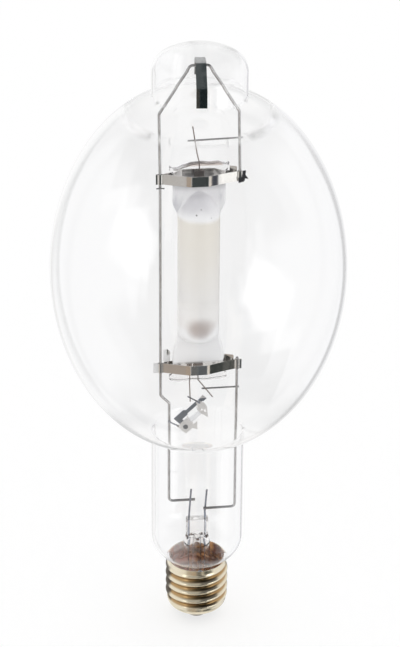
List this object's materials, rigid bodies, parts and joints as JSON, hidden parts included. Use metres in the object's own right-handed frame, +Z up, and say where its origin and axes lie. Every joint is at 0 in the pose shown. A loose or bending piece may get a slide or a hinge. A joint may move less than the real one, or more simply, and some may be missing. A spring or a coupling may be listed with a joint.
{
  "type": "metal halide lamp",
  "caption": "Clear jacketed discharge lamp with an oval bulb, wire-framed quartz arc tube, bimetal starting switch and mogul screw base.",
  "frame": {"origin": "middle of the centre contact's lower face, on the lamp's axis", "axes": "+Z up the lamp's axis from the base to the dome; the wire frame stands in the XZ plane and -Y is the front"},
  "size_m": [0.1776, 0.1776, 0.3905],
  "materials": {
    "clear_glass": "clear blown glass",
    "quartz": "frosted fused quartz with white coated ends",
    "brass": "bright drawn brass",
    "black_glass": "black moulded glass",
    "contact_metal": "tinned brass disc",
    "solder": "dull solder",
    "nickel_wire": "drawn nickel wire",
    "frame_steel": "nickel-plated steel rod",
    "spring_steel": "dark rolled spring leaf",
    "tungsten": "dark tungsten",
    "molybdenum": "molybdenum foil and wire",
    "halide_salt": "condensed salt",
    "strap_steel": "bright rolled strip",
    "bimetal": "grey bimetal strip",
    "bracket_metal": "pale stamped sheet",
    "rivet_metal": "dark contact rivet",
    "ceramic": "pale glazed ceramic"
  },
  "bodies": {
    "lamp": {"outer_bulb": "clear_glass", "stem_glass": "clear_glass", "exhaust_tube": "clear_glass", "screw_shell": "brass", "base_insulator": "black_glass", "centre_contact": "contact_metal", "contact_solder": "solder", "rim_solder": "solder", "lead_wire_left": "nickel_wire", "lead_wire_right": "nickel_wire", "lead_tail_left": "nickel_wire", "lead_tail_right": "nickel_wire", "frame_wire": "frame_steel", "support_rod": "frame_steel", "upper_cross_wire": "frame_steel", "lower_cross_wire": "frame_steel", "stop_wire": "frame_steel", "dome_spring": "spring_steel", "arc_tube": "quartz", "upper_electrode": "tungsten", "lower_electrode": "tungsten", "starter_electrode": "tungsten", "upper_foil": "molybdenum", "lower_foil": "molybdenum", "starter_foil": "molybdenum", "upper_lead": "molybdenum", "lower_lead": "molybdenum", "starter_lead": "molybdenum", "halide_pool": "halide_salt", "upper_strap_front": "strap_steel", "upper_strap_back": "strap_steel", "lower_strap_front": "strap_steel", "lower_strap_back": "strap_steel", "leg_clip": "strap_steel", "strip_anchor": "bimetal", "switch_bracket_lower": "bracket_metal", "switch_bracket_upper": "bracket_metal", "contact_rivet": "rivet_metal", "switch_spacer": "ceramic", "switch_lead_left": "nickel_wire", "switch_lead_right": "nickel_wire"},
    "strip": {"bimetal_strip": "bimetal"}
  },
  "joints": [
    {"name": "bimetal_bend", "type": "hinge", "parent": "lamp", "child": "strip", "pos_m": [0.00013, 0, 0.15551], "axis": [0.6921, 0, -0.7218], "range_deg": [0, 6], "stiffness_Nm_per_rad": 0.01}
  ]
}
